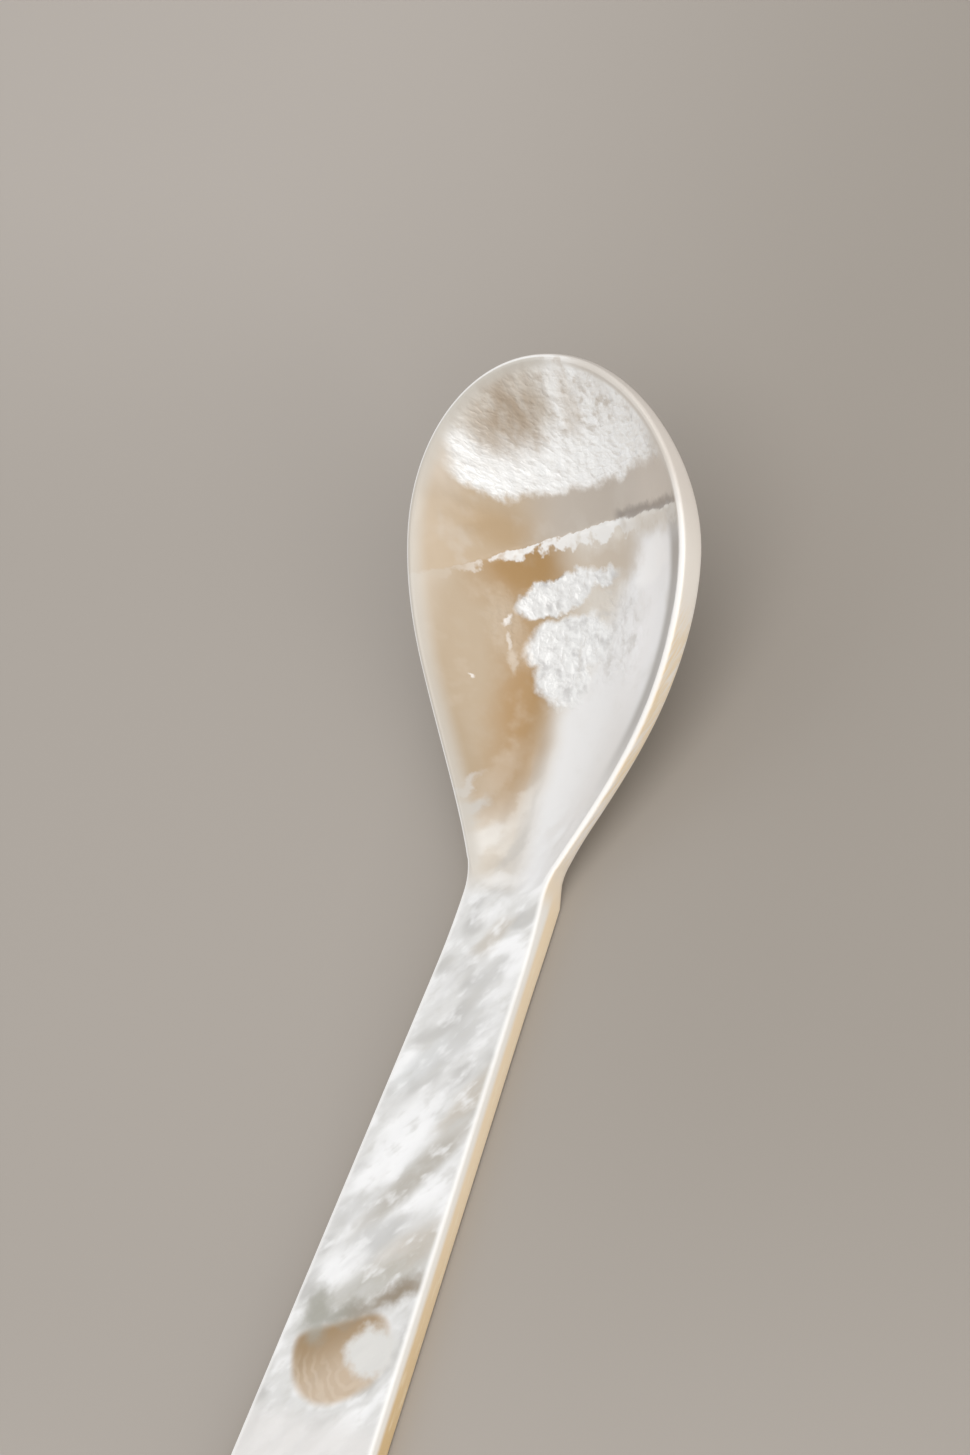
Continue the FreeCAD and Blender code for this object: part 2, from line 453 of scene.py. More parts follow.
# %% [markdown]
# ## Carving the spoon from a grid
# A spoon like this is easy to shape from one grid of squares if the grid is laid around it like a
# sleeve: its rows are ribs that start on the centre line, run square to the edge, go down over the
# edge and come back underneath. Its columns then follow the edge, so the crest, the rounded lip and
# the wall all have their own clean lines. Round the tip and the handle's end the ribs fan out by
# themselves. This cell says how a rib leans, where it starts, and how deep both surfaces lie there.

# %% Lean, start and depths of a rib
def slant(s):
    """Lean of a rib's upright part: square to the rim at the bowl, to the handle behind it."""
    share = min(max((-4.5 - s) / 5.0, 0), 1)
    return bend * share * share * (3 - 2 * share)


def centre_place(s):
    """Where a rib meets the centre line: the ribs gather before both rounded ends."""
    if s > 15:
        return s - 6.5 * ((s - 15) / 21.5) ** 2
    if s < -60:
        return s + 3.6 * ((-60 - s) / 8) ** 2
    return s


def depth_of_back(x, s):
    """How far below the upper face the back is, along the slant."""
    y, lean, depth = along_to_y(s), slant(s), thickness
    for _ in range(14):
        depth = (top_height(y) - lower_height(x, y - depth * math.sin(lean))) / math.cos(lean)
    return depth


def depth_of_floor(x, s):
    height = hollow_height(x, along_to_y(s))
    return 0.0 if height is None else max(0.0, top_height(along_to_y(s)) - height)


def crest_inset(point, out, before):
    """How far in from the edge the hollow begins, or nearly what it was on the rib before."""
    for i in range(1, 400):
        inset = i * 0.02
        if inset > 0.6 * max(abs(point.x), 3):
            break
        if depth_of_floor(*(point - out * inset)) > 0:
            return inset
    return rim_width + (before - rim_width) * 0.93


print("depths at the deepest place:", round(depth_of_floor(0, deepest), 2), "and",
      round(depth_of_back(0, deepest), 2))

# %% [markdown]
# ## The columns of a rib
# Each rib has the same number of points, so the grid stays a grid. Most of them cross the hollow,
# closer together near the rim. Then come the crest, a quarter circle for the rounding on top, the
# wall, a quarter circle at its foot, and the way back under the bowl. Bevels would round the edges
# too, but these arcs keep their radius right round the spoon.

# %% Ribs
floor_columns = 56
under_columns = 24


def rib(point, out, crest):
    """One rib as (x, s, depth), from the centre line over the edge to the centre line below."""
    node = Vector((0, centre_place(point.y)))
    places = []
    for i in range(floor_columns):
        v = i / floor_columns
        places.append(node.lerp(point - out * crest, v * (1.35 - 0.35 * v)))
    for inset in (crest, crest - 0.05, (crest + top_round) / 2, top_round):
        places.append(point - out * inset)
    points = [(p.x, p.y, depth_of_floor(p.x, p.y)) for p in places]
    for i in range(1, 7):
        a = math.radians(15 * i)
        p = point - out * top_round * (1 - math.sin(a))
        points.append((p.x, p.y, top_round * (1 - math.cos(a))))
    full = depth_of_back(point.x, point.y)
    below = under_round if point.y < 0 else max(0.2, under_round - 0.05 * point.y)
    for share in (0.33, 0.67, 1.0):
        points.append((point.x, point.y, top_round + share * (full - below - top_round)))
    for i in range(1, 5):
        a = math.radians(22.5 * i)
        p = point - out * below * (1 - math.cos(a))
        points.append((p.x, p.y, depth_of_back(p.x, p.y) - below * (1 - math.sin(a))))
    foot = point - out * below
    for i in range(1, under_columns + 1):
        p = foot.lerp(node, i / under_columns)
        points.append((p.x, p.y, depth_of_back(p.x, p.y)))
    return points


ribs = []
crest = rim_width
for point, out in zip(edge, outward):
    crest = crest_inset(point, out, crest)
    ribs.append(rib(point, out, crest))
rows, columns = len(ribs), len(ribs[0])
print("ribs:", rows, "columns:", columns)

# %% [markdown]
# ## Laying the grid on the ribs
# The finished spoon lies on the floor on the flat underside of its handle, so every point is turned
# by the bend on its way into the mesh. Two numbers are stored on each point for the material: how
# much it belongs to the upper face, and how far it is from the edge. They follow the surface better
# than any coordinate could.

# %% Lay the grid
origin_y, origin_z = handle_point(0, thickness)


def laid(x, s, depth):
    """A rib's point in the spoon's own frame, in metres."""
    y, lean = along_to_y(s), slant(s)
    height = top_height(y) - depth * math.cos(lean) - origin_z
    y = y - depth * math.sin(lean) - origin_y
    level_y = y * math.cos(bend) - height * math.sin(bend)
    return Vector((x, level_y, y * math.sin(bend) + height * math.cos(bend))) * MM


shell = bmesh.new()
bmesh.ops.create_grid(shell, x_segments=columns - 1, y_segments=rows - 1, size=0.5)
top_layer = shell.verts.layers.float.new("on_top")
inset_layer = shell.verts.layers.float.new("from_edge")
last_top_column = floor_columns + 8
for vert in shell.verts:
    column = round((vert.co.x + 0.5) * (columns - 1))
    row = round((vert.co.y + 0.5) * (rows - 1))
    x, s, depth = ribs[row][column]
    vert[top_layer] = min(max((last_top_column - column) / 3, 0), 1)
    vert[inset_layer] = (Vector((x, s)) - edge[row]).length
    vert.co = laid(x, s, depth)
print("grid:", rows, "x", columns, "faces:", len(shell.faces))

# %% [markdown]
# ## The whole spoon
# The left half is the right one in a mirror. Where the halves meet, and where the ribs run together
# at the tip and at the handle's end, points lie on each other and are merged. Then the faces are
# turned outwards, because a mirror turns half of them inside out. A closed shell has two faces at
# every edge, which is counted.

# %% Mirror, close and turn the faces outwards
everything = shell.verts[:] + shell.edges[:] + shell.faces[:]
bmesh.ops.mirror(shell, geom=everything, matrix=Matrix.Identity(4), merge_dist=1e-7, axis="X")
bmesh.ops.remove_doubles(shell, verts=shell.verts, dist=2e-7)
bmesh.ops.dissolve_degenerate(shell, dist=1e-7, edges=shell.edges)
bmesh.ops.recalc_face_normals(shell, faces=shell.faces)
open_edges = [e for e in shell.edges if len(e.link_faces) != 2]
volume = shell.calc_volume() / MM ** 3
print("faces:", len(shell.faces), "open edges:", len(open_edges), "mm3:", round(volume))

# %% [markdown]
# ## The growth ridge and the torn lumps
# Shell grows in steps, and the wheel cuts across them. The photograph shows one step right across
# the bowl, like a small torn cliff that looks towards the tip, two bright lumps below it, a crease
# down the middle and two small pits. A bump map would do for the finest grain, but the ridge casts
# shade of its own, so these forms are real relief, up to 0.3 mm. Each is a height over a place.

# %% Helpers for relief, in millimetres
first_lump, second_lump, lump_foot = (-1.9, 21.0), (-0.6, 17.8), (-1.0, 15.6)
streak_lean = math.radians(38)


def eased(value, low, high):
    """0 below the low value, 1 above the high one, and a smooth rise between them."""
    share = min(max((value - low) / (high - low), 0), 1)
    return share * share * (3 - 2 * share)


def ridge_place(x):
    """The growth ridge: how far along the spoon it lies at a place across it."""
    return 24.95 + 0.25 * x - 0.022 * x * x


def rough(x, y, size, seed):
    """Smooth noise between about -1 and 1, with lumps of the given size."""
    return noise.noise(Vector((x / size, y / size, seed)))


def oval(x, y, centre, length, width, tilt):
    """How far a point is from the middle of a tilted oval, where 1 is on its outline."""
    dx, dy = x - centre[0], y - centre[1]
    along = dx * math.cos(tilt) + dy * math.sin(tilt)
    across = dy * math.cos(tilt) - dx * math.sin(tilt)
    return math.hypot(along / length, across / width)


# %% Relief of the bowl
def ridge(x, y):
    from_ridge = y - ridge_place(x) + 0.22 * rough(x, 0, 0.9, 3) + 0.12 * rough(x, y, 0.4, 7)
    behind = 0.24 * math.exp(min(from_ridge, 0) / 1.3)
    ahead = -0.10 * math.exp(-max(from_ridge, 0) / 0.9)
    past = 0.5 + 0.5 * math.tanh(from_ridge / 0.14)
    return (behind + (ahead - behind) * past) * (0.35 + 0.65 * eased(x, -9, -3))


def lumps(x, y):
    wobble = 0.25 * rough(x, y, 1.1, 11)
    first = oval(x, y, first_lump, 3.7, 1.25, 0.45)
    second = min(oval(x, y, second_lump, 3.7, 2.1, 0.3), oval(x, y, lump_foot, 2.4, 2.1, 0))
    body = 1 - eased(min(first, second) + wobble, 0.6, 1.1)
    dents = abs(rough(x, 0.8 * y, 1.3, 13)) + 0.5 * abs(rough(x, y, 0.6, 14))
    return 0.17 * body * (0.4 + 1.4 * dents)


def crease(x, y):
    middle = float(numpy.interp(y, [-1, 2, 6, 9, 13], [0.5, -0.5, -0.9, -1.6, -1.7]))
    strength = eased(y, -1.5, 0.5) * (1 - eased(y, 9, 13))
    return -0.10 * strength * math.exp(-((x - middle) / 0.6) ** 2)


def pits(x, y):
    deep = 0.0
    for place, size in (((3.6, 25.0), 0.55), ((10.9, 24.6), 0.45)):
        deep -= 0.22 * math.exp(-((x - place[0]) ** 2 + (y - place[1]) ** 2) / size ** 2)
    return deep


def tip_folds(x, y):
    folds = abs(rough(x, y, 1.9, 21)) + 0.3 * abs(rough(x, y, 0.8, 22))
    ahead = y - ridge_place(x)
    return 0.13 * folds * eased(ahead, 1.6, 2.6) * (1 - 0.6 * eased(y, 28, 31))


print("relief just behind and ahead of the ridge:", round(ridge(0, 24.6), 2),
      round(ridge(0, 25.6), 2))

# %% [markdown]
# ## The ripples of the handle
# On the handle the layers of the shell run out in long faint waves that lie askew, and the neck is
# a little crumpled where the layers turn. Noise that is stretched along the waves gives both. All
# the forms are added up, each point of the upper face is moved along its own normal, and the relief
# fades out before the rim, so the outline stays the solid's.

# %% Raise the relief on the upper face
def handle_waves(x, y):
    along = y * math.cos(streak_lean) + x * math.sin(streak_lean)
    across = x * math.cos(streak_lean) - y * math.sin(streak_lean)
    waves = rough(across, 0.45 * along, 1.9, 31) + 0.5 * rough(across, 0.6 * along, 0.9, 32)
    return 0.08 * waves * (1 - eased(y, -1, 3))


def neck_folds(x, y):
    folds = rough(1.3 * x, 0.8 * y, 1.4, 41) + 0.5 * rough(x, y, 0.7, 42)
    return 0.09 * folds * eased(y, -5, -1) * (1 - eased(y, 4, 8))


def relief(x, y):
    """How far the upper face stands out over its smooth form."""
    forms = (neck_folds, ridge, lumps, crease, pits, tip_folds, handle_waves)
    return sum(form(x, y) for form in forms)


shell.normal_update()
lifts = []
for vert in shell.verts:
    inner = vert[top_layer] * eased(vert[inset_layer], rim_width, rim_width + 1.3)
    lifts.append(relief(vert.co.x / MM, vert.co.y / MM) * inner)
for vert, lift in zip(shell.verts, lifts):
    vert.co += vert.normal * lift * MM
print("relief from", round(min(lifts), 2), "to", round(max(lifts), 2), "mm")

# %% [markdown]
# ## The object
# The mesh becomes an object that stands in the solid's place. It sits at the origin, unturned, with
# its place in its mesh, so that the export and the pattern of the shell find it where it is.

# %% Give the mesh to an object
mesh = bpy.data.meshes.new("caviar_spoon")
shell.to_mesh(mesh)
shell.free()
mesh.shade_smooth()
spoon = add_object("caviar_spoon", mesh)
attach(spoon, "root")
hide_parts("spoon")
print("points in the spoon:", len(mesh.vertices))

# %% [markdown]
# ## Writing a material as sums
# A pearl finish is many soft masks laid over each other. Wiring them one node at a time is slow to
# write and slow to read, so one small class wraps a socket, and Python's own signs add the Math
# nodes. Colours go through Mix nodes, because a Math node would turn them grey.

# %% A socket that can be used in sums
class Wire:
    """A socket of a node tree. Each sign adds the node that works it out."""

    def __init__(self, tree, socket):
        self.tree = tree
        self.socket = socket

    def node(self, kind, settings, values, output=0):
        """Any node: its settings are set first, then its sockets get values or wires."""
        new = self.tree.nodes.new(kind)
        for name, value in settings.items():
            setattr(new, name, value)
        for name, value in values.items():
            if isinstance(value, Wire):
                self.tree.links.new(value.socket, new.inputs[name])
            else:
                new.inputs[name].default_value = value
        return Wire(self.tree, new.outputs[output])

    def math(self, operation, first, second=0.0):
        return self.node("ShaderNodeMath", {"operation": operation}, {0: first, 1: second})

    def __add__(self, other):
        return self.math("ADD", self, other)

    __radd__ = __add__

    def __sub__(self, other):
        return self.math("SUBTRACT", self, other)

    def __rsub__(self, other):
        return self.math("SUBTRACT", other, self)

    def __mul__(self, other):
        return self.math("MULTIPLY", self, other)

    __rmul__ = __mul__

    def __truediv__(self, other):
        return self.math("DIVIDE", self, other)

    def __rtruediv__(self, other):
        return self.math("DIVIDE", other, self)

    def __pow__(self, other):
        return self.math("POWER", self, other)

    def __rpow__(self, other):
        return self.math("POWER", other, self)

    def most(self, other):
        return self.math("MAXIMUM", self, other)

    def wave(self):
        return self.math("SINE", self)

    def unsigned(self):
        return (self * self) ** 0.5

    def eased(self, low, high):
        """0 at the low value, 1 at the high one, smooth between; low may be the larger."""
        smooth = {"interpolation_type": "SMOOTHSTEP"}
        values = {"Value": self, "From Min": low, "From Max": high}
        return self.node("ShaderNodeMapRange", smooth, values)

    def plain(self, colour):
        """A colour that is the same all over, to lay others on."""
        base = self.node("ShaderNodeRGB", {}, {})
        base.socket.default_value = (*colour, 1)
        return base

    def covered(self, mask, colour):
        """This colour with another laid over it where the mask is 1."""
        if not isinstance(colour, Wire):
            colour = (*colour, 1)
        return self.node("ShaderNodeMix", {"data_type": "RGBA"}, {0: mask, 6: self, 7: colour}, 2)

    def coated(self, coats):
        """This colour with every (mask, colour) of a list laid over it in turn."""
        result = self
        for mask, colour in coats:
            result = result.covered(mask, colour)
        return result

    def plug(self, socket):
        self.tree.links.new(self.socket, socket)


def new_finish(name):
    """A material, its shader, and an empty wire to begin its sums with."""
    finish = bpy.data.materials.new(name)
    finish.use_nodes = True
    return finish, finish.node_tree.nodes["Principled BSDF"], Wire(finish.node_tree, None)


pearl, pearl_shader, begin = new_finish("pearl")
print("sockets of the pearl's shader:", len(pearl_shader.inputs))

# %% [markdown]
# ## Where a pattern lies on the shell
# The layers of shell are fixed in the piece, so the pattern reads the object's own coordinates, in
# millimetres like the rest, and the two numbers stored on the mesh. Straight masks would look
# printed on. The coordinates they are drawn in are therefore shaken with noise: ragged for torn
# places, soft for the tan depth, streaky for the handle.

# %% The pearl's coordinates
object_place = begin.node("ShaderNodeTexCoord", {}, {}, "Object")
to_mm = {0: object_place, "Scale": 1 / MM}
in_mm = begin.node("ShaderNodeVectorMath", {"operation": "SCALE"}, to_mm)
x, y, z = [begin.node("ShaderNodeSeparateXYZ", {}, {"Vector": in_mm}, axis) for axis in "XYZ"]
on_top = begin.node("ShaderNodeAttribute", {"attribute_name": "on_top"}, {}, "Fac")
from_edge = begin.node("ShaderNodeAttribute", {"attribute_name": "from_edge"}, {}, "Fac")


def cloud(across, along, size, detail, seed):
    """Noise from -1 to 1 with lumps of a size in millimetres."""
    sample = {"X": across / size, "Y": along / size, "Z": seed}
    values = {"Vector": begin.node("ShaderNodeCombineXYZ", {}, sample),
              "Scale": 1.0, "Detail": detail, "Roughness": 0.55}
    return begin.node("ShaderNodeTexNoise", {}, values, "Fac") * 2 - 1


lean_sin, lean_cos = math.sin(streak_lean), math.cos(streak_lean)
band_across = x * lean_cos - y * lean_sin
band_along = y * lean_cos + x * lean_sin
streak = cloud(band_across, band_along * 0.3, 0.9, 1.0, 19.0) * 1.6
ragged = (x + cloud(x, y, 1.3, 4.0, 3.1) * 0.9, y + cloud(x, y, 1.3, 4.0, 8.7) * 0.9)
soft = (x + cloud(x, y, 4.0, 1.0, 5.5) * 0.8, y + cloud(x, y, 4.0, 1.0, 9.9) * 0.8)
streaky = (x + streak * lean_sin, y + streak * lean_cos)
ragged_x, ragged_y = ragged
soft_x, soft_y = soft


def spot(centre, length, width, tilt=0.0, softness=0.35, where=ragged):
    """An oval mask. Its outline is as ragged as the coordinates it is drawn in."""
    dx, dy = where[0] - centre[0], where[1] - centre[1]
    u = (dx * math.cos(tilt) + dy * math.sin(tilt)) / length
    v = (dy * math.cos(tilt) - dx * math.sin(tilt)) / width
    return ((u * u + v * v) ** 0.5).eased(1 + softness, 1 - softness)


print("nodes for the coordinates:", len(pearl.node_tree.nodes))

# %% [markdown]
# ## The zones of the bowl
# The polished face of this shell is silver where the layers lie flat, and shows the tan and beige
# layers under it where the wheel has cut deeper or the silver is thin. The right wall's white is
# partly a painted sheen with a painted highlight on it, and the left wall's tan is partly painted
# shade. A painted image would be tied to one view and one size, so each zone is a mask: a range of
# a coordinate, or an oval.

# %% Zones of the bowl
bowl = soft_y.eased(-1.8, 0.8)
mottle = cloud(x, y, 2.4, 3.0, 91.0)
past_ridge = y - ridge_place(x) + cloud(x, y, 0.9, 3.0, 1.7) * 0.45
left_part = (-5.0 - x).most(0.0)
border_y = 27.3 + 0.20 * x - 0.013 * x * x + 0.1 * left_part * left_part
past_border = ragged_y - border_y

# the left wall's tan layer, painted darker as well for the shade it lies in
tan_and_shade_zone = spot((-6.2, 15.5), 14.5, 5.0, math.radians(86), 0.4, soft)
deep_tan = spot((-4.6, 22.0), 3.4, 2.2, 0.2, 0.6, soft)
deep_tan = deep_tan.most(spot((-3.7, 13.5), 1.9, 7.0, 0.12, 0.8, soft))
tan_above_ridge = spot((-6.6, 24.2), 2.2, 1.0, 0.2, 0.7, soft)
wall_x = -1.3 + (y - 13.0).most(0.0) * 0.5 + (6.0 - y).most(0.0) * 0.2
# the right wall: its silver colour, painted whiter as well as a painted sheen where it faces the
# light
right_wall_sheen = (soft_x - wall_x).eased(-0.6, 2.0) * past_ridge.eased(-0.6, -2.2)
# a painted highlight: a bright spot of light on the right wall
highlight_spot = spot((7.2, 22.7), 2.0, 1.3, 0.3, 0.4)
middle_grey = spot((2.2, 23.0), 3.2, 1.2, 0.2, 0.5)
# painted shade: a grey line just inside the right crest, where the wall turns steeply down
shade_line_in_wall = (from_edge + cloud(x, y, 2.0, 2.0, 81.0) * 0.4).eased(0.4, 0.8)
shade_line_in_wall = shade_line_in_wall * from_edge.eased(2.8, 1.6) * x.eased(4.0, 6.0)
shade_line_in_wall = shade_line_in_wall * y.eased(5.0, 14.0) * y.eased(26.5, 22.5)
neck_left = y.eased(5.5, 1.5) * soft_x.eased(-0.6, -1.6)

veil = past_ridge.eased(-0.05, 0.2) * past_border.eased(0.5, -0.3)
veil_right = veil * soft_x.eased(-6.5, -1.0)
tip_silver = past_border.eased(-0.35, 0.35) * ragged_x.eased(-10.0, -8.3)
tip_left = y.eased(24.0, 26.5) * ragged_x.eased(-8.3, -10.0)
tip_fade = past_border.eased(2.2, 4.0) * ragged_x.eased(-0.2, -2.5)
tip_corner = ragged_x.eased(7.0, 9.0)
beige_cloud = cloud(x, y, 1.5, 3.0, 95.0).eased(-0.5, 0.2) * 0.6 + 0.4
beige_patch = spot((-4.6, 30.3), 3.0, 1.7, 0.45, 0.7) * beige_cloud
beige_streak = spot((0.4, 31.2), 0.7, 1.5, 0.1, 0.6)
print("nodes with the bowl's zones:", len(pearl.node_tree.nodes))

# %% [markdown]
# ## The torn places
# Where the wheel tore the layers instead of cutting them, they stand up like crumpled foil: on the
# two lumps, in the silver of the tip and along the ridge. The ridge's broken edge gets a painted
# highlight, and the dip just ahead of it a painted shadow. The lumps' masks have the same centres
# as their relief, and the ridge's mask uses the same curve.

# %% Torn places of the bowl
lump_one = spot(first_lump, 3.6, 1.1, 0.45, 0.15).most(spot((1.6, 22.3), 1.7, 0.5, 0.1, 0.4))
lump_two = spot(second_lump, 3.6, 2.0, 0.3, 0.15).most(spot(lump_foot, 2.3, 2.0, 0.0, 0.2))
both_lumps = lump_one.most(lump_two)
torn_right = spot((3.4, 18.6), 3.0, 3.0, -0.5, 0.5)
torn_left = spot((-5.4, 17.8), 1.1, 2.4, 0.5, 0.4)

thick = x.eased(-6.0, 0.5) * 0.5 + 0.45
cliff = (past_ridge + cloud(x, y, 1.3, 3.0, 71.0) * 1.6 + thick).eased(0.0, 0.35)
cliff = cliff * past_ridge.eased(0.12, -0.02)
broken = cloud(x, y, 1.1, 2.0, 77.0).eased(-0.4, 0.0) * 0.5 + 0.5
# painted highlight along the ridge's broken edge, which looks towards the light
cliff_highlight = cliff * broken * x.eased(-10.5, -5.0) * (x.eased(6.0, 3.2) * 0.7 + 0.3)
# painted shadow in the dip just ahead of the ridge
ridge_shadow = past_ridge.eased(-0.15, 0.1) * past_ridge.eased(0.75, 0.3) * x.eased(2.6, 3.6)
from_crease = soft_x - (-0.5 - (y - 1.5) * 0.12)
crease_shade = (from_crease * from_crease).eased(0.5, 0.02)
crease_shade = crease_shade * y.eased(-1.5, 1.0) * y.eased(13.0, 7.0)

climb = y + (y - 25.0).most(0.0) * 0.9  # the far wall is steep, so its folds are packed closer
fleck = cloud(x, climb, 1.1, 3.0, 97.0)
wide_folds = cloud(x, climb, 1.9, 2.0, 50.0).unsigned()
small_folds = cloud(x, climb, 0.9, 2.0, 61.0).unsigned()
print("nodes with the torn places:", len(pearl.node_tree.nodes))

# %% [markdown]
# ## The zones of the handle
# The handle is cut along the layers. They show as bands of white and grey that lie askew, with an
# olive band and a tan pocket with fine rings where the wheel broke through to an older layer. The
# larger patches of light and dark are a short list, and noise fills in between them.

# %% Zones of the handle
bands = cloud(band_across, band_along * 0.5, 2.4, 1.5, 12.0)
fine_bands = cloud(band_across * 1.2, band_along * 0.6, 1.2, 2.5, 17.0)
olive = spot((2.9, -31.0), 3.0, 0.65, math.radians(37), 0.9)
olive = olive.most(spot((-0.7, -33.2), 3.2, 0.65, math.radians(24), 0.9))
olive = olive.most(spot((-2.7, -33.4), 1.1, 1.7, 0.3, 0.7))
below_olive = (x * 0.45 - y - 33.3).eased(-0.4, 0.6)
pocket = spot((0.1, -36.0), 4.0, 3.7, 0.0, 0.12, soft) * below_olive
pocket_dark = pocket * (y - x * 0.8 + 36.0).eased(-2.5, 3.0)
blob_x, blob_y = 2.7, -35.3
blob = spot((blob_x, blob_y), 2.0, 1.8, 0.0, 0.3)
ring_x, ring_y = x - blob_x, y + 35.4
from_blob = (ring_x * ring_x + ring_y * ring_y) ** 0.5
rings = (from_blob * 7.5 + cloud(x, y, 2.0, 2.0, 35.0) * 9.0).wave()
pocket_rings = pocket * rings.eased(-0.6, 1.0) * y.eased(-35.5, -38.0)
handle_end = soft_y.eased(-39.5, -42.0)
print("nodes with the handle's zones:", len(pearl.node_tree.nodes))

# %% [markdown]
# ## Colouring the bowl
# The finish is built up like layers of lacquer. A list of coats is easier to read and to reorder
# than a chain of nodes: each coat is a mask, its strength and its colour, and each one covers what
# lies under it. The small patches are given by centre, half length and half width in millimetres,
# tilt in degrees, strength and colour.

# %% Colour of the bowl under the silver
bowl_colour = begin.plain((0.72, 0.67, 0.60)).coated([
    # tan layer with painted shade on the left wall
    (tan_and_shade_zone * 0.95, (0.45, 0.34, 0.22)),
    (deep_tan * 0.95, (0.40, 0.235, 0.085)),
    (neck_left * 0.6, (0.76, 0.71, 0.64)),
    (mottle.eased(0.05, 0.5) * 0.15, (0.78, 0.72, 0.64)),
    (mottle.eased(-0.05, -0.5) * 0.2, (0.52, 0.43, 0.33)),
    # the right wall: silver, painted brighter as well for its painted sheen
    (right_wall_sheen, (0.84, 0.835, 0.83)),
    (right_wall_sheen * y.eased(11.0, 18.0) * x.eased(3.5, 6.5), (0.95, 0.95, 0.96)),
    (right_wall_sheen * mottle.eased(0.0, 0.5) * 0.4, (0.76, 0.745, 0.72)),
    # painted highlight on the right wall
    (highlight_spot * 0.95, (1.0, 1.0, 1.0)),
    # painted shade inside the right crest
    (shade_line_in_wall * 0.9, (0.38, 0.36, 0.34)),
    (middle_grey * 0.8, (0.58, 0.49, 0.39)),
    (torn_right * fleck.eased(-0.05, 0.35) * 0.6, (0.62, 0.60, 0.57)),
    (torn_left * 0.25, (0.66, 0.58, 0.48)),
    (veil * 0.8, (0.52, 0.40, 0.27)),
    (veil_right, (0.53, 0.47, 0.405)),
    (veil_right * x.eased(2.0, 8.0) * 0.7, (0.70, 0.64, 0.58)),
    (veil * mottle.eased(0.0, 0.4) * 0.3, (0.62, 0.57, 0.51)),
    (tan_above_ridge * 0.6, (0.46, 0.31, 0.16)),
    (tip_left * 0.7, (0.66, 0.58, 0.49))])
print("nodes with the bowl's ground:", len(pearl.node_tree.nodes))

# %% Silver, lumps and small patches over it
tip_colour = begin.plain((0.96, 0.96, 0.95)).coated([
    (tip_fade * 0.85, (0.74, 0.70, 0.63)),
    (past_border.eased(1.8, 3.4) * mottle.eased(-0.1, 0.4) * 0.6, (0.70, 0.66, 0.61)),
    # painted shade in the creases of the small folds
    (small_folds.eased(0.07, 0.0) * 0.15, (0.68, 0.66, 0.63)),
    (fleck.eased(0.0, 0.45) * 0.35, (0.70, 0.67, 0.63)),
    (past_border.eased(1.6, 3.0) * fleck.eased(0.0, 0.35) * 0.6, (0.58, 0.52, 0.45)),
    (tip_corner * 0.8, (0.64, 0.60, 0.55)),
    (beige_patch * 0.95, (0.43, 0.34, 0.25)),
    (beige_streak * 0.5, (0.64, 0.57, 0.49))])
lump_colour = begin.plain((0.87, 0.87, 0.86)).coated([
    (fleck.eased(-0.05, 0.4) * 0.7, (0.60, 0.59, 0.58)),
    # painted shade in the creases of the small folds
    (small_folds.eased(0.06, 0.0) * 0.2, (0.62, 0.61, 0.59))])
bowl_colour = bowl_colour.coated([
    (tip_silver, tip_colour),
    (both_lumps, lump_colour),
    # painted highlight on the ridge
    (cliff_highlight * 0.95, (0.88, 0.87, 0.85)),
    # painted shadow ahead of the ridge
    (ridge_shadow * 0.85, (0.32, 0.28, 0.25)),
    (crease_shade * 0.3, (0.56, 0.54, 0.51))])
bowl_patches = [
    ((-5.7, 18.6), 0.4, 0.22, 60, 0.7, (0.90, 0.88, 0.86)),
    ((-5.4, 17.2), 0.5, 0.22, 110, 0.5, (0.84, 0.80, 0.75)),
    ((-7.3, 14.4), 0.2, 0.12, 20, 0.7, (0.88, 0.84, 0.80)),
    ((-4.8, 16.0), 0.9, 0.35, 100, 0.4, (0.76, 0.69, 0.60)),
    ((-5.6, 6.2), 1.6, 0.25, 72, 0.5, (0.66, 0.66, 0.66)),
    ((-3.9, 8.2), 2.6, 0.9, 70, 0.15, (0.80, 0.76, 0.70)),
    ((-4.7, 4.6), 1.3, 0.6, 70, 0.6, (0.62, 0.62, 0.61)),
    ((-3.2, 3.0), 1.6, 0.8, 60, 0.6, (0.86, 0.84, 0.80)),
    ((-2.3, 1.2), 1.3, 0.7, 40, 0.6, (0.62, 0.55, 0.46)),
    ((-0.9, 2.6), 2.0, 0.5, 80, 0.6, (0.58, 0.55, 0.51)),
    ((-0.2, 0.2), 1.6, 0.5, 20, 0.5, (0.90, 0.89, 0.87)),
    ((-1.6, 6.0), 2.2, 0.5, 75, 0.4, (0.82, 0.78, 0.72))]


def patched(colour, patches, softness, where):
    """A colour with a list of oval patches laid over it."""
    return colour.coated(
        (spot(centre, length, width, math.radians(tilt), softness, where) * strength, tone)
        for centre, length, width, tilt, strength, tone in patches)


bowl_colour = patched(bowl_colour, bowl_patches, 0.5, ragged)
print("nodes with the whole bowl:", len(pearl.node_tree.nodes))
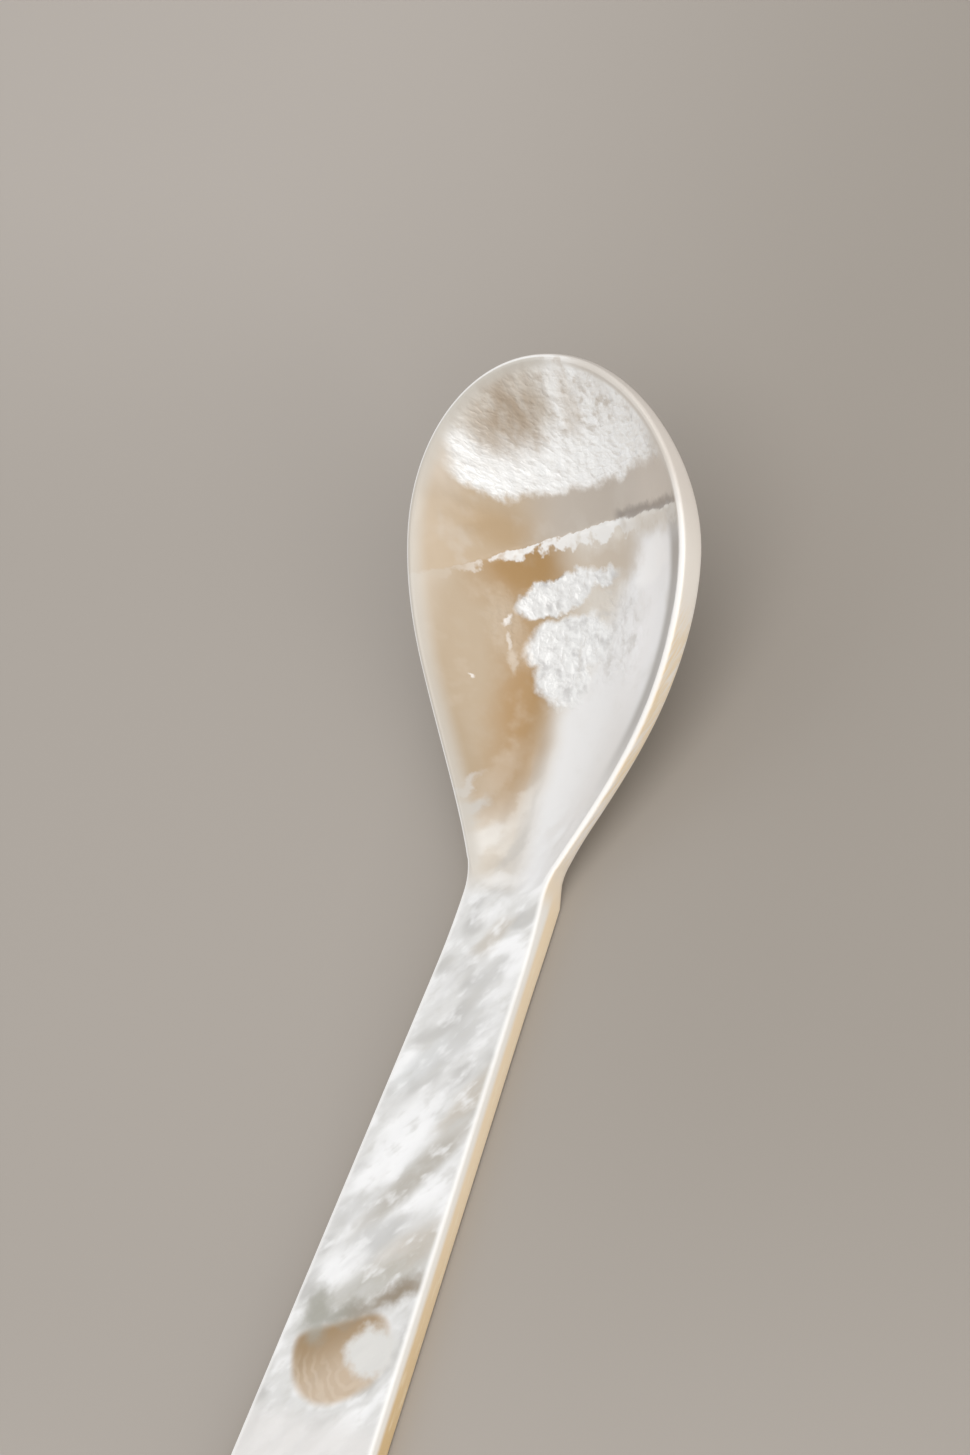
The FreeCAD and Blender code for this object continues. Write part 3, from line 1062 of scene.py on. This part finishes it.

# %% [markdown]
# ## Colouring the handle
# First the broad bands, then the patches drawn in streaky coordinates so that they fray along the
# layers, then fine bands over everything, and last the olive band, the pocket and the white blob,
# with a painted highlight along the rounded edge on top.
# The order matters: the fine bands tie the patches together.

# %% Colour of the handle
white, grey, warm_grey = (0.93, 0.93, 0.93), (0.58, 0.575, 0.56), (0.54, 0.49, 0.42)
handle_patches = [
    ((-0.2, -1.9), 1.6, 1.0, 50, 0.6, white), ((0.3, -4.3), 1.8, 0.7, 60, 0.7, warm_grey),
    ((1.2, -7.0), 2.2, 0.7, 50, 0.7, grey), ((-2.7, -8.6), 2.4, 0.9, 55, 0.5, white),
    ((2.4, -9.6), 2.0, 1.0, 60, 0.8, white), ((0.2, -12.4), 3.8, 1.2, 50, 0.8, grey),
    ((-2.2, -14.8), 2.6, 0.9, 55, 0.5, (0.74, 0.75, 0.75)),
    ((3.4, -16.0), 3.6, 0.9, 62, 0.85, warm_grey), ((-0.9, -19.4), 3.5, 1.7, 62, 0.95, white),
    ((-2.6, -23.0), 1.7, 0.9, 50, 0.9, white), ((3.0, -23.0), 2.6, 0.9, 60, 0.85, white),
    ((1.4, -21.9), 5.4, 0.9, 57, 0.95, (0.48, 0.45, 0.40)),
    ((-3.3, -25.8), 1.6, 1.0, 40, 0.6, grey), ((-0.4, -27.4), 2.6, 1.0, 40, 0.8, grey),
    ((3.0, -27.6), 3.2, 1.3, 40, 0.8, warm_grey),
    ((0.6, -30.8), 4.4, 1.3, 31, 0.6, (0.44, 0.42, 0.36)),
    ((-2.5, -30.0), 1.9, 1.3, 50, 0.9, white)]
handle_colour = begin.plain((0.72, 0.715, 0.70)).coated([
    (bands.eased(0.02, 0.3) * 0.8, (0.52, 0.51, 0.49)),
    (bands.eased(-0.04, -0.3) * 0.9, (0.92, 0.92, 0.92))])
handle_colour = patched(handle_colour, handle_patches, 0.6, streaky)
olive_colour = begin.plain((0.36, 0.35, 0.30)).covered(x.eased(-2.0, 2.5), (0.26, 0.20, 0.13))
handle_colour = handle_colour.coated([
    (fine_bands.eased(0.0, 0.5) * 0.6, (0.60, 0.59, 0.56)),
    (fine_bands.eased(0.0, -0.5) * 0.7, (0.92, 0.92, 0.92)),
    (pocket * 0.95, (0.56, 0.43, 0.30)),
    (pocket_dark * 0.9, (0.31, 0.20, 0.09)),
    (pocket_rings * 0.2, (0.80, 0.70, 0.57)),
    (olive * 0.9, olive_colour),
    (blob, (0.72, 0.71, 0.68)),
    (handle_end * 0.8, (0.78, 0.76, 0.74)),
    # painted highlight along the handle's rounded edge
    (from_edge.eased(0.5, 0.1) * 0.8, (0.94, 0.93, 0.91))])
print("nodes with the handle:", len(pearl.node_tree.nodes))

# %% [markdown]
# ## The rim
# Thin shell lets light through, so the rim isn't the colour of what lies beside it: greyish inside
# the left rim and beige at the far right. The white line on its crest and the pale band along the
# near side are painted highlights, where the rounded edge catches the light. The distance from the
# edge that was stored on the mesh keeps these lines at one width all round.

# %% Join bowl and handle, and draw the rim
left_rim = from_edge.eased(1.4, 0.4) * x.eased(1.0, -1.5) * bowl
far_rim = from_edge.eased(0.9, 0.5) * x.eased(-1.0, 3.0) * y.eased(22.0, 26.0)
# painted highlight along the rounded crest
crest_highlight = from_edge.eased(0.26, 0.12) * x.eased(2.0, -2.0)
# painted highlight along the near rim's rounded edge
near_rim_highlight = from_edge.eased(0.7, 0.35) * x.eased(2.0, 5.0) * bowl * y.eased(28.0, 23.0)
top_colour = handle_colour.coated([
    (bowl, bowl_colour),
    (left_rim * 0.8, (0.60, 0.565, 0.51)),
    (far_rim * 0.9, (0.66, 0.61, 0.55)),
    (crest_highlight * 0.95, (0.98, 0.97, 0.95)),
    (near_rim_highlight * 0.9, (0.95, 0.93, 0.90))])
print("nodes with the rim:", len(pearl.node_tree.nodes))

# %% [markdown]
# ## The sides and the back
# The sides cut through the layers, so the yellow layer shows as a strip along the handle and thins
# out beside the bowl. The upper edge of the handle's side is painted pale, a painted highlight
# where the rounding catches the light. On the rounded back the layers come out as contours, like
# height lines on a map. A sine of the height, shaken with noise, draws them.

# %% Colour of the sides and the back
layers = cloud(y * 0.15, z, 0.35, 2.0, 40.0)
beside_bowl = y.eased(-2.0, 4.0)
# painted highlight on the upper edge of the handle's side
top_edge_highlight = z.eased(1.15, 1.65) * y.eased(0.5, -2.0)
bowl_layers = beside_bowl * layers.eased(-0.1, 0.3) * y.eased(21.0, 16.0)
yellow_strip = y.eased(5.0, 9.0) * y.eased(20.0, 15.0) * from_edge.eased(0.2, 0.1)
yellow_strip = yellow_strip * layers.eased(-0.4, 0.2)
contours = (z * 2.6 + cloud(x, y, 7.0, 2.0, 47.0) * 6.0).wave()
back = z.eased(0.3, 0.0).most(beside_bowl * from_edge.eased(0.6, 1.6))
side_colour = begin.plain((0.68, 0.49, 0.25)).coated([
    (y.eased(-46.0, -18.0), (0.87, 0.72, 0.52)),
    (layers.eased(0.0, 0.4) * 0.4, (0.90, 0.80, 0.62)),
    (top_edge_highlight, (0.90, 0.88, 0.84)),
    (beside_bowl * 0.85, (0.94, 0.91, 0.87)),
    (bowl_layers * 0.7, (0.88, 0.76, 0.58)),
    (y.eased(21.0, 27.0) * 0.8, (0.76, 0.70, 0.64)),
    (yellow_strip * 0.7, (0.92, 0.74, 0.49)),
    (back * 0.85, (0.83, 0.80, 0.74)),
    (back * contours.eased(-0.2, 1.0) * 0.45, (0.80, 0.66, 0.46)),
    (back * mottle.eased(0.0, 0.5) * 0.45, (0.66, 0.65, 0.63)),
    (back * contours.eased(-0.3, -1.0) * 0.5, (0.93, 0.92, 0.90))])
side_colour.covered(on_top, top_colour).plug(pearl_shader.inputs["Base Color"])
print("nodes with the sides and the back:", len(pearl.node_tree.nodes))

# %% [markdown]
# ## Sheen and fine grain
# Polished shell shines like satin under a thin hard gloss, and the torn silver shines more than the
# rest. So roughness and a trace of metal follow the silver, and one clear coat lies over all of it.
# The finest crumple is too small for the mesh, so a bump gives it.

# %% Sheen and fine relief
silver_mask = both_lumps.most(tip_silver)
bright = silver_mask * on_top
(0.40 - bright * 0.12).plug(pearl_shader.inputs["Roughness"])
(0.03 + bright * 0.06).plug(pearl_shader.inputs["Metallic"])
pearl_shader.inputs["Coat Weight"].default_value = 0.3
pearl_shader.inputs["Coat Roughness"].default_value = 0.12

torn = both_lumps.most(tip_silver * 0.8).most(torn_right * 0.6).most(torn_left * 0.6)
crinkle = (wide_folds * 1.3 + small_folds * 0.6) * bowl * (0.03 + torn)
ripple = (bands * 0.5 + fine_bands * 0.25) * (1 - bowl)
grain = (crinkle * 0.20 + ripple * 0.13) * on_top * from_edge.eased(0.4, 1.4)
bump = {"Height": grain, "Distance": MM, "Strength": 1.0}
begin.node("ShaderNodeBump", {}, bump).plug(pearl_shader.inputs["Normal"])
mesh.materials.append(pearl)
print("all nodes of the pearl:", len(pearl.node_tree.nodes))

# %% [markdown]
# ## The floor
# The photograph has a plain warm grey ground that grows a little darker to the right. The floor is
# one large square with that slow darkening painted on as shade, by its own coordinates, so the
# light on it can stay soft and even.

# %% Floor
floor_mesh = bpy.data.meshes.new("floor")
tile = bmesh.new()
bmesh.ops.create_grid(tile, x_segments=1, y_segments=1, size=2.0)
tile.to_mesh(floor_mesh)
tile.free()
floor = add_object("floor", floor_mesh)
paint, paint_shader, begin_floor = new_finish("floor")
paint_shader.inputs["Roughness"].default_value = 0.9
floor_place = {"Vector": begin_floor.node("ShaderNodeTexCoord", {}, {}, "Object")}
floor_x = begin_floor.node("ShaderNodeSeparateXYZ", {}, floor_place, "X")
floor_y = begin_floor.node("ShaderNodeSeparateXYZ", {}, floor_place, "Y")
# painted shade: the floor darker to the right and in a band across the middle
floor_shade = floor_x.eased(-0.055, 0.025) * (0.15 + floor_y.eased(-0.07, 0.0) * 0.85)
floor_shade = floor_shade.most(floor_y.eased(-0.08, -0.03) * floor_y.eased(0.06, 0.02) * 0.5)
ground = begin_floor.plain((0.47, 0.43, 0.39)).covered(floor_shade, (0.36, 0.325, 0.287))
ground.plug(paint_shader.inputs["Base Color"])
floor_mesh.materials.append(paint)
print("nodes of the floor:", len(paint.node_tree.nodes))

# %% [markdown]
# ## The light
# Pearl is lit with large soft lights, because small ones would leave hard white points on the coat.
# A broad one from above right gives the shape, a low warm one lights the side of the handle, a weak
# one from the left keeps the far wall open, and an even surrounding light softens the shadow.

# %% Lights
def soft_light(name, stand, aim, size, power, colour):
    """A square light that looks from where it stands to its aim."""
    lamp = bpy.data.lights.new(name, "AREA")
    lamp.size = size
    lamp.energy = power
    lamp.color = colour
    light = add_object(name, lamp)
    light.location = stand
    light.rotation_euler = (Vector(aim) - Vector(stand)).to_track_quat("-Z", "Y").to_euler()


soft_light("key", (0.40, -0.15, 0.88), (0, 0, 0), 1.1, 5.2, (1.0, 0.99, 0.97))
soft_light("low", (0.80, -0.35, 0.22), (0, 0, 0.01), 0.5, 2.3, (1.0, 0.96, 0.90))
soft_light("left", (-0.75, 0.20, 0.60), (0, 0, 0), 0.9, 1.2, (0.97, 0.98, 1.0))
world = bpy.data.worlds.new("studio")
world.use_nodes = True
surrounding = world.node_tree.nodes["Background"]
surrounding.inputs["Color"].default_value = (0.97, 0.97, 0.98, 1)
surrounding.inputs["Strength"].default_value = 0.56
bpy.context.scene.world = world
bpy.context.scene.view_settings.view_transform = "Standard"
print("lights:", len(bpy.data.lights))
